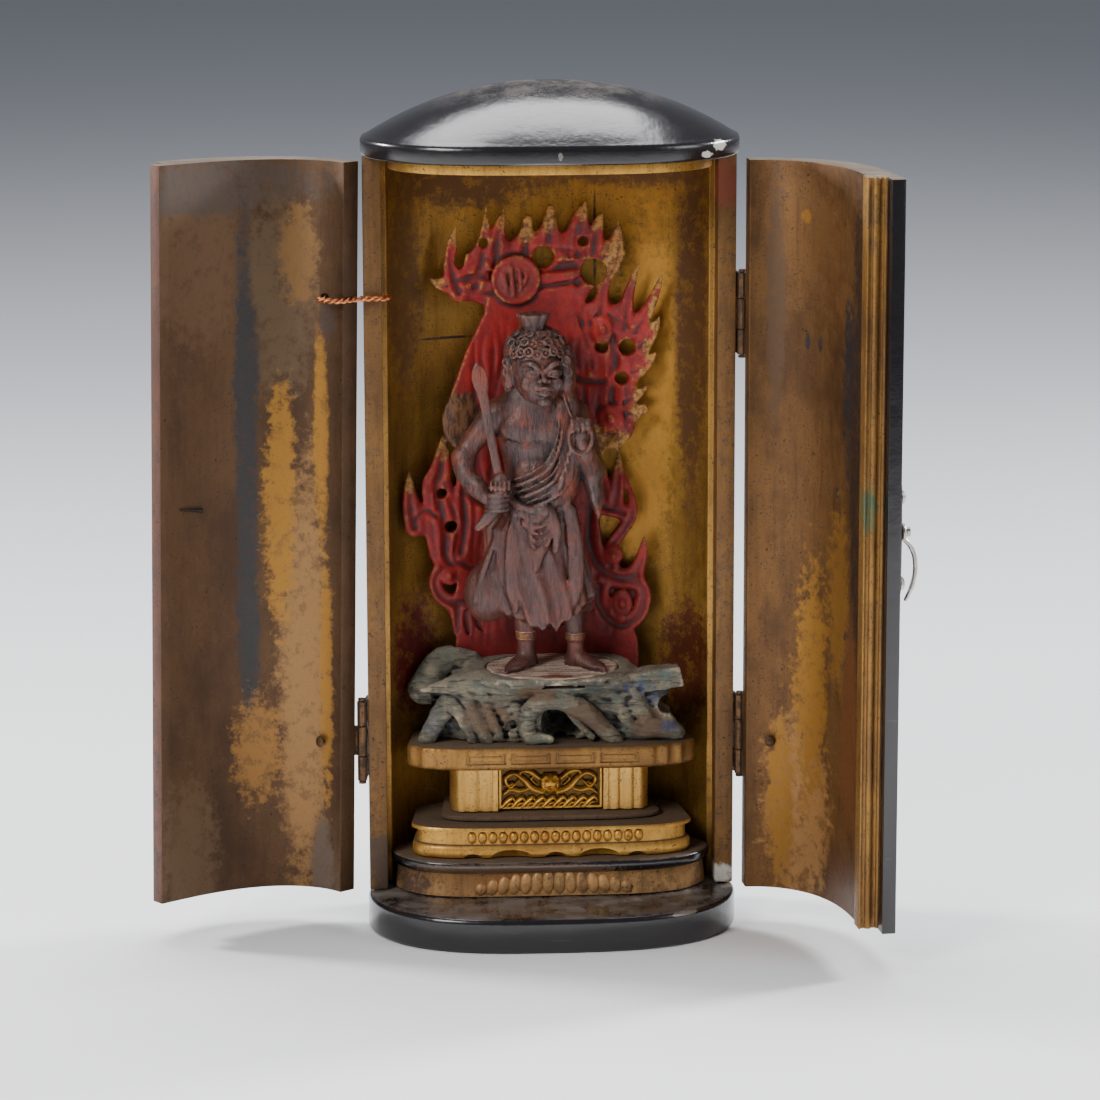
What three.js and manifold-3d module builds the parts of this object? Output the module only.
// A folding shrine box in lacquered and gilded wood, open, with a carved guardian figure inside.
// Millimetres, +Z up, +Y to the back, origin at the middle of the plinth's underside.
import * as THREE from "three";
import { mergeVertices } from "three/addons/utils/BufferGeometryUtils.js";
import Module from "manifold-3d";

const wasm = await Module();
wasm.setup();

// Fits
const FIT_GAP = 0.3; // between pieces that touch
const DOOR_BOTTOM_GAP = 0.8;
const DOOR_TOP_GAP = 1.4;
const DOOR_SIDE_GAP = 0.25; // each side of the plane where the doors meet the stiles

// Case
const BASE_HALF_WIDTH = 43.5;
const BASE_HALF_DEPTH = 26.95;
const BASE_HEIGHT = 8.2;
const BASE_EDGE = 0.9; // rounding of the plinth's upper edge
const CASE_INSET = 0.3; // case shell behind the plinth's edge
const CASE_INNER_HEIGHT = 175.2; // from the plinth's top to the roof's underside
const CASE_WALL = 4.3;
const LINER_FRONT = 7; // depth at which the stepped liner starts
const LINER_STEP = 1.3;
const CEILING_DROP = 3.2; // from the roof's underside to the ceiling board's
const CEILING_FRONT = 17.6;
const ROOF_OVERHANG = 0.1;
const ROOF_RIM = 3.8;
const ROOF_RISE = 12.8;
const ROOF_DOME_POWER = 2.2;

// Doors
const DOOR_INSET = 0.5; // outer face of the closed doors behind the case's
const DOOR_WALL = 4.3; // at the hinges
const DOOR_END_THICKNESS = 6.9; // at the free ends
const RIGHT_DOOR_OPEN = 95.5; // degrees, as it stands
const LEFT_DOOR_OPEN = 141;
const STRIP_WIDTH = 4.8;
const STRIP_PROUD = 0.7;
const STRIP_GROOVE = 0.7;
const LIP_REACH = 4.4;
const LIP_THICKNESS = 3.2;
const MEETING_GAP = 0.2; // from the middle plane to each door's end

// Hinges
const HINGE_LENGTH = 19;
const LOWER_HINGE_Z = 45;
const UPPER_HINGE_Z = 145.5;
const KNUCKLE_RADIUS = 1.15;
const MIDDLE_KNUCKLE = 7;
const PIN_RADIUS = 0.45;
const PIN_PLAY = 0.28;
const PIN_HEAD = 0.5;
const LEAF_THICKNESS = 0.6;
const LEAF_START = 1.6;
const LEAF_END = 7.2;
const HINGE_RIVET_Y = 5.6; // from the hinge line along the closed door
const RIVET_SHANK = 0.6;
const RIVET_HEAD = 1.35;
const TIE_SHIFT_X = 0.9; // the wire tie holds the left door's top this much nearer the middle
const TIE_SHIFT_Y = -0.35; // and this much nearer the front than the lost hinge did
const TIE_Z = 150.2;
const TIE_HOLE_RADIUS = 1.15;
const TIE_HOLE_DEPTH_Y = 2.4; // of the hole in the stile, behind the hinge line
const WIRE_RADIUS = 0.36;
const WIRE_PITCH = 3.4;

// Latch
const LATCH_Z = 101.5;
const LATCH_X = 1.2; // across the closed doors, from the middle plane
const PLATE_LENGTH = 34;
const PLATE_WIDTH = 5;
const PLATE_THICKNESS = 0.6;
const DOME_RADIUS = 1.7;
const DOME_HEIGHT = 1.1;
const UPPER_DOME = 8; // above the hook's post
const LOWER_DOME = 11.8; // below it
const POST_RADIUS = 0.6;
const POST_HEAD_RADIUS = 1.1;
const HOOK_WIRE = 0.55;
const HOOK_LENGTH = 15.6;
const HOOK_BOW = 2.9;
const CATCH_DISTANCE = 12.8; // from the hook's post to the catch stud
const CATCH_STUD_RADIUS = 0.8;
const CATCH_STUD_HEIGHT = 1.3;
const CATCH_PLATE_RADIUS = 2.6;
const CLENCH_LENGTH = 6;

// Pedestal
const DAIS_FRONT = 9;
const DAIS_CENTRE = 8;
const DAIS_FACE = 6.1;
const DAIS_MOULDING = 2.4;
const PETAL_COUNT = 14;
const PETAL_SPAN = 37;
const TIER_HALF_WIDTH = 33.2;
const TIER_FRONT = 6.2;
const TIER_APRON = 3.1;
const TIER_FACE = 4.2;
const BEAD_COUNT = 17;
const BEAD_SPAN = 39.5;
const BEAD_RADIUS = 1.05;
const STEP_HALF_WIDTH = 26;
const STEP_FRONT = 0.8;
const STEP_HEIGHT = 1.1;
const WAIST_HALF_WIDTH = 23.6;
const WAIST_FRONT = -2.7;
const WAIST_HEIGHT = 11.9;
const WAIST_BACK = 13;
const FLUTE_COUNT = 3;
const PANEL_HALF_WIDTH = 12.5;
const PANEL_RECESS = 2.6;
const SLAB_HALF_WIDTH = 34;
const SLAB_FRONT = 6;
const SLAB_HEIGHT = 5.3;
const FRET_COUNT = 4;
const FRET_SPAN = 42;
const FRET_HEIGHT = 2.7;

// Contents
const ROCK_HEIGHT = 16.9;
const ROCK_SIDES = 22;
const ROCK_ROUGHNESS = 0.9;
const DISC_HALF_WIDTH = 15.6;
const DISC_HALF_DEPTH = 11.2;
const DISC_THICKNESS = 1.6;
const DISC_CENTRE_X = 0.5;
const DISC_CENTRE_Y = 5.6;
const DISC_TILT = 2.5; // front edge lower, in degrees
const FIGURE_HEIGHT = 84.4;
const FLAME_HEIGHT = 109.5;
const FLAME_BACK = 18.8; // depth of the flame screen's middle plane
const FLAME_BOW = 8.8; // how far its sides come forward
const FLAME_BOW_HALF_WIDTH = 34;
const FLAME_HALF_THICKNESS = 1.4;
const FLAME_FOOT_HALF_WIDTH = 22;

// Places that follow from the sizes above
const CASE_HALF_WIDTH = BASE_HALF_WIDTH - CASE_INSET;
const CASE_HALF_DEPTH = BASE_HALF_DEPTH - CASE_INSET;
const INNER_HALF_WIDTH = CASE_HALF_WIDTH - CASE_WALL;
const INNER_HALF_DEPTH = CASE_HALF_DEPTH - CASE_WALL;
const ROOF_UNDERSIDE = BASE_HEIGHT + CASE_INNER_HEIGHT;
const DOOR_HALF_WIDTH = CASE_HALF_WIDTH - DOOR_INSET;
const DOOR_HALF_DEPTH = CASE_HALF_DEPTH - DOOR_INSET + 0.25;
const DOOR_INNER_WIDTH = DOOR_HALF_WIDTH - DOOR_WALL;
const DOOR_INNER_DEPTH = DOOR_HALF_DEPTH - DOOR_END_THICKNESS;
const DOOR_BOTTOM = BASE_HEIGHT + DOOR_BOTTOM_GAP;
const DOOR_TOP = ROOF_UNDERSIDE - DOOR_TOP_GAP;
const HINGE_X = CASE_HALF_WIDTH + FIT_GAP + KNUCKLE_RADIUS;
const DAIS_BOTTOM = BASE_HEIGHT + FIT_GAP;
const DAIS_TOP = DAIS_BOTTOM + DAIS_FACE + DAIS_MOULDING;
const TIER_BOTTOM = DAIS_TOP + FIT_GAP;
const TIER_TOP = TIER_BOTTOM + TIER_APRON + TIER_FACE;
const STEP_BOTTOM = TIER_TOP + FIT_GAP;
const STEP_TOP = STEP_BOTTOM + STEP_HEIGHT;
const WAIST_BOTTOM = STEP_TOP + FIT_GAP;
const WAIST_TOP = WAIST_BOTTOM + WAIST_HEIGHT;
const SLAB_BOTTOM = WAIST_TOP + FIT_GAP;
const SLAB_TOP = SLAB_BOTTOM + SLAB_HEIGHT;
const ROCK_BOTTOM = SLAB_TOP + FIT_GAP;
const ROCK_TOP = ROCK_BOTTOM + ROCK_HEIGHT;

// Materials, with the colours of the old lacquer, gilding and metal
const paint = (color, roughness, metalness) => new THREE.MeshStandardMaterial({ color, roughness, metalness });
const BLACK_LACQUER = paint(0x14110f, 0.25, 0);
const OLD_GOLD = paint(0x8a6426, 0.45, 0.6);
const BRIGHT_GOLD = paint(0xb98a35, 0.38, 0.8);
const DARK_WOOD = paint(0x54403a, 0.7, 0);
const RED_PAINT = paint(0x8e1f1c, 0.6, 0);
const ROCK_PAINT = paint(0x66695c, 0.85, 0);
const BRONZE = paint(0x4a3324, 0.5, 0.8);
const NICKEL = paint(0x9a958c, 0.3, 1);
const COPPER = paint(0x9c5a34, 0.35, 1);

// Geometry helpers
const v2 = (x, y) => new THREE.Vector2(x, y);
const v3 = (x, y, z) => new THREE.Vector3(x, y, z);
const radians = THREE.MathUtils.degToRad;
const mix = THREE.MathUtils.lerp;
const smooth = THREE.MathUtils.smoothstep;

function solidOf(geometry) {
  const bare = new THREE.BufferGeometry();
  bare.setAttribute("position", geometry.getAttribute("position"));
  if (geometry.index) bare.setIndex(geometry.index);
  const merged = mergeVertices(bare, 1e-4);
  const kept = [];
  const index = merged.index.array;
  for (let i = 0; i < index.length; i += 3) {
    const [a, b, c] = [index[i], index[i + 1], index[i + 2]];
    if (a !== b && b !== c && c !== a) kept.push(a, b, c);
  }
  const vertProperties = new Float32Array(merged.getAttribute("position").array);
  const made = new wasm.Mesh({ numProp: 3, vertProperties, triVerts: new Uint32Array(kept) });
  return new wasm.Manifold(made);
}

function geometryOf(solid) {
  const mesh = solid.getMesh();
  const count = mesh.vertProperties.length / mesh.numProp;
  const positions = new Float32Array(count * 3);
  for (let i = 0; i < count; i += 1) {
    positions.set(mesh.vertProperties.subarray(i * mesh.numProp, i * mesh.numProp + 3), i * 3);
  }
  const geometry = new THREE.BufferGeometry();
  geometry.setAttribute("position", new THREE.BufferAttribute(positions, 3));
  geometry.setIndex(new THREE.BufferAttribute(mesh.triVerts, 1));
  geometry.computeVertexNormals();
  return geometry;
}

const joined = (solids) => solids.reduce((whole, solid) => whole.add(solid));
const carved = (body, tools) => tools.reduce((whole, tool) => whole.subtract(tool), body);

function piece(group, name, solid, material) {
  const mesh = new THREE.Mesh(geometryOf(solid), material);
  mesh.name = name;
  group.add(mesh);
  return mesh;
}

// A plan outline raised from one height to another.
function prism(points, bottom, top) {
  const shape = new THREE.Shape(points);
  const geometry = new THREE.ExtrudeGeometry(shape, { depth: top - bottom, bevelEnabled: false });
  return solidOf(geometry.translate(0, 0, bottom));
}

// A body through closed rings of equally many points, listed from one end to the other.
function loft(rings) {
  const sides = rings[0].length;
  const positions = rings.flat().flatMap((p) => [p.x, p.y, p.z]);
  const index = [];
  for (let r = 0; r + 1 < rings.length; r += 1) {
    for (let s = 0; s < sides; s += 1) {
      const [a, b] = [r * sides + s, r * sides + ((s + 1) % sides)];
      index.push(a, b, b + sides, a, b + sides, a + sides);
    }
  }
  for (const [r, flip] of [[0, true], [rings.length - 1, false]]) {
    const middle = rings[r].reduce((sum, p) => sum.add(p), v3(0, 0, 0)).divideScalar(sides);
    const hub = positions.length / 3;
    positions.push(middle.x, middle.y, middle.z);
    for (let s = 0; s < sides; s += 1) {
      const [a, b] = [r * sides + s, r * sides + ((s + 1) % sides)];
      index.push(...(flip ? [b, a, hub] : [a, b, hub]));
    }
  }
  const geometry = new THREE.BufferGeometry();
  geometry.setAttribute("position", new THREE.Float32BufferAttribute(positions, 3));
  geometry.setIndex(index);
  const solid = solidOf(geometry);
  if (solid.volume() > 0) return solid;
  for (let i = 0; i < index.length; i += 3) [index[i], index[i + 1]] = [index[i + 1], index[i]];
  geometry.setIndex(index);
  return solidOf(geometry);
}

function ellipsoid(centre, radii, [around, down], turn = [0, 0, 0]) {
  const geometry = new THREE.SphereGeometry(1, around, down).rotateX(Math.PI / 2);
  geometry.scale(...radii).rotateX(turn[0]).rotateY(turn[1]).rotateZ(turn[2]);
  return solidOf(geometry.translate(...centre));
}

function rod(from, to, radius, sides, endRadius = radius) {
  const [a, b] = [v3(...from), v3(...to)];
  const length = a.distanceTo(b);
  const geometry = new THREE.CylinderGeometry(endRadius, radius, length, sides).translate(0, length / 2, 0);
  const turn = new THREE.Quaternion().setFromUnitVectors(v3(0, 1, 0), b.clone().sub(a).normalize());
  return solidOf(geometry.applyQuaternion(turn).translate(a.x, a.y, a.z));
}

function block([x0, y0, z0], [x1, y1, z1]) {
  const geometry = new THREE.BoxGeometry(x1 - x0, y1 - y0, z1 - z0);
  return solidOf(geometry.translate((x0 + x1) / 2, (y0 + y1) / 2, (z0 + z1) / 2));
}

// A limb along a smooth route. Each stop is [x, y, z, half-width, half-depth], the width across the
// route in the plane of the picture and the depth along the given side direction.
function limb(stops, sides, steps, depthWay = v3(0, 1, 0), placed = (p) => p) {
  const route = new THREE.CatmullRomCurve3(stops.map(([x, y, z]) => v3(x, y, z)), false, "centripetal");
  const sizeAt = (t, item) => {
    const place = t * (stops.length - 1);
    const first = Math.min(Math.floor(place), stops.length - 2);
    return mix(stops[first][item] ?? stops[first][3], stops[first + 1][item] ?? stops[first + 1][3], place - first);
  };
  const rings = [];
  for (let i = 0; i <= steps; i += 1) {
    const t = i / steps;
    const centre = route.getPoint(t);
    const along = route.getTangent(t);
    const across = new THREE.Vector3().crossVectors(along, depthWay).normalize();
    const deep = new THREE.Vector3().crossVectors(across, along).normalize();
    rings.push(
      Array.from({ length: sides }, (_, s) => {
        const angle = (s / sides) * 2 * Math.PI;
        const point = centre
          .clone()
          .addScaledVector(across, Math.cos(angle) * sizeAt(t, 3))
          .addScaledVector(deep, Math.sin(angle) * sizeAt(t, 4));
        return placed(point);
      }),
    );
  }
  return loft(rings);
}

// The rounded plan that the plinth, the case, the doors and the roof share:
// |x / halfWidth|^3 + |y / halfDepth|^2 = 1.
const planX = (halfWidth, halfDepth, y) => halfWidth * Math.cbrt(1 - (y / halfDepth) ** 2);
const planY = (halfWidth, halfDepth, x) => halfDepth * Math.sqrt(Math.max(0, 1 - Math.abs(x / halfWidth) ** 3));

function planPoint(halfWidth, halfDepth, angle) {
  const cosine = Math.cos(angle);
  return v2(halfWidth * Math.sign(cosine) * Math.abs(cosine) ** (2 / 3), halfDepth * Math.sin(angle));
}

function planArc(halfWidth, halfDepth, from, to, steps) {
  return Array.from({ length: steps + 1 }, (_, i) => planPoint(halfWidth, halfDepth, mix(from, to, i / steps)));
}

const planRing = (halfWidth, halfDepth, z, count) =>
  Array.from({ length: count }, (_, i) => {
    const p = planPoint(halfWidth, halfDepth, (i / count) * 2 * Math.PI);
    return v3(p.x, p.y, z);
  });

// Plinth and roof
const PLAN_STEPS = 32;

function basePlinth() {
  const inset = (amount, z) => planRing(BASE_HALF_WIDTH - amount, BASE_HALF_DEPTH - amount, z, PLAN_STEPS);
  return loft([
    inset(BASE_EDGE / 2, 0),
    inset(0, BASE_EDGE / 2),
    inset(0, BASE_HEIGHT - BASE_EDGE),
    inset(BASE_EDGE * 0.3, BASE_HEIGHT - BASE_EDGE * 0.3),
    inset(BASE_EDGE, BASE_HEIGHT),
  ]);
}

function domedRoof() {
  const halfWidth = BASE_HALF_WIDTH + ROOF_OVERHANG;
  const halfDepth = BASE_HALF_DEPTH + ROOF_OVERHANG;
  const edge = ROOF_RIM * 0.16;
  const rings = [
    planRing(halfWidth - edge, halfDepth - edge, ROOF_UNDERSIDE, PLAN_STEPS),
    planRing(halfWidth, halfDepth, ROOF_UNDERSIDE + edge, PLAN_STEPS),
    planRing(halfWidth, halfDepth, ROOF_UNDERSIDE + ROOF_RIM, PLAN_STEPS),
  ];
  for (const share of [0.98, 0.9, 0.78, 0.6, 0.4, 0.18]) {
    const rise = ROOF_RISE * (1 - share ** ROOF_DOME_POWER);
    rings.push(planRing(halfWidth * share, halfDepth * share, ROOF_UNDERSIDE + ROOF_RIM + rise, PLAN_STEPS));
  }
  return loft(rings);
}

// Case shell: a bent wall whose front edges are the stiles, with a thinner liner behind a step
function caseShell() {
  const start = Math.asin(DOOR_SIDE_GAP / CASE_HALF_DEPTH);
  const linerStart = Math.asin(LINER_FRONT / INNER_HALF_DEPTH);
  const outer = planArc(CASE_HALF_WIDTH, CASE_HALF_DEPTH, start, Math.PI - start, 34);
  const inner = planArc(INNER_HALF_WIDTH, INNER_HALF_DEPTH, Math.PI - linerStart, linerStart, 30);
  const postFace = Math.max(INNER_HALF_WIDTH, inner[inner.length - 1].x + LINER_STEP);
  const outline = [
    ...outer,
    v2(-postFace, DOOR_SIDE_GAP),
    v2(-postFace, LINER_FRONT),
    ...inner,
    v2(postFace, LINER_FRONT),
    v2(postFace, DOOR_SIDE_GAP),
  ];
  const wall = prism(outline, BASE_HEIGHT + FIT_GAP, ROOF_UNDERSIDE - FIT_GAP);
  const tieEnd = (x) => [x, TIE_HOLE_DEPTH_Y, TIE_Z];
  return wall.subtract(rod(tieEnd(-postFace + CASE_WALL), tieEnd(-CASE_HALF_WIDTH - CASE_WALL), TIE_HOLE_RADIUS, 8));
}

// The room inside the case: what stands in it keeps inside this outline.
function interiorOutline(clearance) {
  const halfWidth = INNER_HALF_WIDTH - clearance;
  const halfDepth = INNER_HALF_DEPTH - clearance;
  return { halfWidth, halfDepth };
}

function ceilingBoard() {
  const { halfWidth, halfDepth } = interiorOutline(FIT_GAP + LINER_STEP);
  const back = planArc(halfWidth, halfDepth, 0, Math.PI, 20);
  const front = planArc(halfWidth, CEILING_FRONT, Math.PI, 2 * Math.PI, 24).slice(1, -1);
  return prism([...back, ...front], ROOF_UNDERSIDE - CEILING_DROP, ROOF_UNDERSIDE - FIT_GAP);
}

// Doors, drawn closed on the right-hand side. The left one is the mirror image with a rebate.
function doorOutline(fromX) {
  const hingeEdge = -Math.asin(DOOR_SIDE_GAP / DOOR_HALF_DEPTH);
  const innerEdge = -Math.asin(DOOR_SIDE_GAP / DOOR_INNER_DEPTH);
  const endAngle = (halfWidth) => -Math.acos((fromX / halfWidth) ** 1.5);
  const outer = planArc(DOOR_HALF_WIDTH, DOOR_HALF_DEPTH, hingeEdge, endAngle(DOOR_HALF_WIDTH), 22);
  const inner = planArc(DOOR_INNER_WIDTH, DOOR_INNER_DEPTH, endAngle(DOOR_INNER_WIDTH), innerEdge, 20);
  return [...outer, ...inner];
}

const mirrored = (points) => points.map((p) => v2(-p.x, p.y)).reverse();

const doorWall = (x, y) => ({
  inner: planX(DOOR_INNER_WIDTH, DOOR_INNER_DEPTH, y),
  outer: planX(DOOR_HALF_WIDTH, DOOR_HALF_DEPTH, y),
  front: -planY(DOOR_HALF_WIDTH, DOOR_HALF_DEPTH, x),
  back: -planY(DOOR_INNER_WIDTH, DOOR_INNER_DEPTH, x),
});

function closingStripOutline() {
  const end = MEETING_GAP;
  const face = end + STRIP_GROOVE;
  const outer = [STRIP_WIDTH, 3, 1.5, 0, -1.5, -3, -LIP_REACH].map((x) => v2(x, doorWall(x, 0).front));
  const lipInside = doorWall(0, 0).front + LIP_THICKNESS;
  const inside = doorWall(0, 0).back + STRIP_PROUD;
  const depth = inside - lipInside;
  // The end face, from the lip to the inside: an edge line, a groove, a round bead, a groove, an edge line
  const bead = [[0.09, end], [0.13, face], [0.3, face], [0.38, mix(face, end, 0.6)], [0.46, end], [0.55, end]];
  const lines = [...bead, [0.63, mix(face, end, 0.6)], [0.71, face], [0.87, face], [0.91, end]];
  return [
    ...outer,
    v2(-LIP_REACH, lipInside),
    v2(end, lipInside),
    ...lines.map(([share, x]) => v2(x, lipInside + depth * share)),
    v2(end, inside),
    v2(STRIP_WIDTH, doorWall(STRIP_WIDTH, 0).back + STRIP_PROUD),
  ];
}

// A hole or a shank straight through a door's wall at a hinge's height
function throughDoor(side, z, radius, past, inward = past) {
  const { inner, outer } = doorWall(0, -HINGE_RIVET_Y);
  return rod(
    [side * (outer + past), -HINGE_RIVET_Y, z],
    [side * (inner - inward), -HINGE_RIVET_Y, z],
    radius,
    8,
  );
}

function hingeRivet(side) {
  const { inner } = doorWall(0, -HINGE_RIVET_Y - RIVET_HEAD);
  const seat = side * (inner - FIT_GAP);
  const flat = side * (inner + RIVET_HEAD);
  const head = ellipsoid([seat, -HINGE_RIVET_Y, LOWER_HINGE_Z], [0.75, RIVET_HEAD, RIVET_HEAD], [10, 6]);
  const wallSide = block(
    [Math.min(seat, flat), -HINGE_RIVET_Y - RIVET_HEAD, LOWER_HINGE_Z - RIVET_HEAD],
    [Math.max(seat, flat), -HINGE_RIVET_Y + RIVET_HEAD, LOWER_HINGE_Z + RIVET_HEAD],
  );
  return head.subtract(wallSide).add(throughDoor(side, LOWER_HINGE_Z, RIVET_SHANK, 0, RIVET_HEAD));
}

function rightDoorPanel() {
  const panel = prism(doorOutline(STRIP_WIDTH + FIT_GAP), DOOR_BOTTOM, DOOR_TOP);
  return panel.subtract(throughDoor(1, LOWER_HINGE_Z, RIVET_SHANK + FIT_GAP, 1));
}

function rightDoorStrip() {
  const strip = prism(closingStripOutline(), DOOR_BOTTOM, DOOR_TOP);
  return carved(strip, latchPins(FIT_GAP));
}

function leftDoorPanel() {
  const panel = prism(mirrored(doorOutline(MEETING_GAP)), DOOR_BOTTOM, DOOR_TOP);
  const front = doorWall(0, 0).front;
  const rebate = block(
    [-LIP_REACH - 2 * MEETING_GAP, front - 1, DOOR_BOTTOM - 1],
    [1, front + LIP_THICKNESS + FIT_GAP, DOOR_TOP + 1],
  );
  const rivetHole = throughDoor(-1, LOWER_HINGE_Z, RIVET_SHANK + FIT_GAP, 1);
  const tieHole = throughDoor(-1, TIE_Z, TIE_HOLE_RADIUS, 1);
  return carved(panel, [rebate, rivetHole, tieHole, catchShank(CATCH_STUD_RADIUS + FIT_GAP, 1)]);
}

// Hinges. A leaf lies on the case's or the door's outer face and wraps into its knuckles.
function knuckle(side, bottom, top) {
  return rod([side * HINGE_X, 0, bottom], [side * HINGE_X, 0, top], KNUCKLE_RADIUS, 14);
}

function hingeLeaf(side, z, onDoor) {
  const way = onDoor ? -1 : 1;
  const [halfWidth, halfDepth] = onDoor ? [DOOR_HALF_WIDTH, DOOR_HALF_DEPTH] : [CASE_HALF_WIDTH, CASE_HALF_DEPTH];
  const faceAt = (y, lift) => v2(side * (planX(halfWidth, halfDepth, y) + FIT_GAP + lift), way * y);
  const stops = [0, 0.33, 0.67, 1].map((share) => mix(LEAF_START, LEAF_END, share));
  const plate = [...stops.map((y) => faceAt(y, 0)), ...stops.reverse().map((y) => faceAt(y, LEAF_THICKNESS))];
  const neck = [
    faceAt(LEAF_START, 0),
    faceAt(LEAF_START + LEAF_THICKNESS, LEAF_THICKNESS),
    v2(side * (HINGE_X + KNUCKLE_RADIUS * 0.45), way * KNUCKLE_RADIUS * 0.75),
    v2(side * (HINGE_X - KNUCKLE_RADIUS * 0.3), 0),
  ];
  const [low, high] = [z - HINGE_LENGTH / 2, z + HINGE_LENGTH / 2];
  const [midLow, midHigh] = [z - MIDDLE_KNUCKLE / 2, z + MIDDLE_KNUCKLE / 2];
  const spans = onDoor ? [[midLow, midHigh]] : [[low, midLow - FIT_GAP], [midHigh + FIT_GAP, high]];
  const wraps = spans.flatMap(([from, to]) => [knuckle(side, from, to), prism(neck, from, to)]);
  const bore = rod([side * HINGE_X, 0, low - 1], [side * HINGE_X, 0, high + 1], PIN_RADIUS + PIN_PLAY, 10);
  return joined([prism(plate, low, high), ...wraps]).subtract(bore);
}

function hingePin(side, z) {
  const half = HINGE_LENGTH / 2 + FIT_GAP;
  const at = (height) => [side * HINGE_X, 0, z + height];
  return joined([
    rod(at(-half - PIN_HEAD / 2), at(half + PIN_HEAD / 2), PIN_RADIUS, 10),
    rod(at(half), at(half + PIN_HEAD), KNUCKLE_RADIUS * 0.8, 10),
    rod(at(-half - PIN_HEAD), at(-half), KNUCKLE_RADIUS * 0.8, 10),
  ]);
}

// Latch, on the outside of the closed doors. Everything is measured out from the strip's face.
const latchFace = (x, out) => doorWall(x, 0).front - FIT_GAP - out;

function latchPins(clearance) {
  const pin = (z, radius) => {
    const out = latchFace(LATCH_X, PLATE_THICKNESS + 1);
    return rod([LATCH_X, out, z], [LATCH_X, out + 4, z], radius + clearance, 8);
  };
  return [
    pin(LATCH_Z + UPPER_DOME, RIVET_SHANK),
    pin(LATCH_Z - LOWER_DOME, RIVET_SHANK),
    pin(LATCH_Z, POST_RADIUS),
  ];
}

function latchPlate() {
  const half = PLATE_LENGTH / 2;
  const middle = LATCH_Z - 1.3;
  const outline = new THREE.Shape();
  outline.moveTo(0, -half);
  outline.quadraticCurveTo(PLATE_WIDTH * 0.15, -half * 0.8, PLATE_WIDTH * 0.42, -half * 0.72);
  outline.quadraticCurveTo(PLATE_WIDTH * 0.6, 0, PLATE_WIDTH * 0.42, half * 0.72);
  outline.quadraticCurveTo(PLATE_WIDTH * 0.15, half * 0.8, 0, half);
  outline.quadraticCurveTo(-PLATE_WIDTH * 0.15, half * 0.8, -PLATE_WIDTH * 0.42, half * 0.72);
  outline.quadraticCurveTo(-PLATE_WIDTH * 0.6, 0, -PLATE_WIDTH * 0.42, -half * 0.72);
  outline.quadraticCurveTo(-PLATE_WIDTH * 0.15, -half * 0.8, 0, -half);
  const settings = { depth: PLATE_THICKNESS, bevelEnabled: false, curveSegments: 4 };
  const geometry = new THREE.ExtrudeGeometry(outline, settings).rotateX(Math.PI / 2);
  const plate = solidOf(geometry.translate(LATCH_X, latchFace(LATCH_X, 0), middle));
  return carved(plate, latchPins(FIT_GAP));
}

function domeRivet(z) {
  const seat = latchFace(LATCH_X, PLATE_THICKNESS + FIT_GAP);
  const dome = ellipsoid([LATCH_X, seat, z], [DOME_RADIUS, DOME_HEIGHT, DOME_RADIUS], [12, 8]);
  const wallSide = block(
    [LATCH_X - DOME_RADIUS, seat, z - DOME_RADIUS],
    [LATCH_X + DOME_RADIUS, seat + DOME_RADIUS, z + DOME_RADIUS],
  );
  const shank = rod([LATCH_X, seat - DOME_HEIGHT / 2, z], [LATCH_X, seat + 3, z], RIVET_SHANK, 8);
  return dome.subtract(wallSide).add(shank);
}

const HOOK_EYE_OUT = PLATE_THICKNESS + FIT_GAP + HOOK_WIRE;

function hookPost() {
  const headSeat = latchFace(LATCH_X, HOOK_EYE_OUT + HOOK_WIRE + FIT_GAP);
  return rod([LATCH_X, latchFace(LATCH_X, 0) + 1.9, LATCH_Z], [LATCH_X, headSeat - 0.2, LATCH_Z], POST_RADIUS, 10)
    .add(rod([LATCH_X, headSeat, LATCH_Z], [LATCH_X, headSeat - 0.7, LATCH_Z], POST_HEAD_RADIUS, 10));
}

// A bent wire with a ring at its root. It hangs from the post and bows away from the plate.
function hook() {
  const eye = latchFace(LATCH_X, HOOK_EYE_OUT);
  const ring = new THREE.TorusGeometry(POST_RADIUS + FIT_GAP + HOOK_WIRE, HOOK_WIRE, 6, 12).rotateX(Math.PI / 2);
  const start = POST_RADIUS + FIT_GAP + HOOK_WIRE;
  const stop = (down, out) => [LATCH_X, eye - out, LATCH_Z - down, HOOK_WIRE];
  const wire = limb(
    [
      stop(start, 0),
      stop(HOOK_LENGTH * 0.2, HOOK_BOW * 0.55),
      stop(HOOK_LENGTH * 0.38, HOOK_BOW * 0.95),
      stop(HOOK_LENGTH * 0.62, HOOK_BOW),
      stop(HOOK_LENGTH * 0.84, HOOK_BOW * 0.7),
      stop(HOOK_LENGTH, HOOK_BOW * 0.28),
    ],
    6,
    9,
    v3(1, 0, 0),
  );
  return solidOf(ring.translate(LATCH_X, eye, LATCH_Z)).add(wire);
}

// The catch on the left door: a stud whose shank goes through the door and is bent over inside
const CATCH_X = LATCH_X - CATCH_DISTANCE;
const catchFace = (out) => doorWall(CATCH_X, 0).front - FIT_GAP - out;

function catchShank(radius, past) {
  const inside = doorWall(CATCH_X, 0).back + past;
  return rod([CATCH_X, catchFace(past), LATCH_Z], [CATCH_X, inside, LATCH_Z], radius, 8);
}

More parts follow.
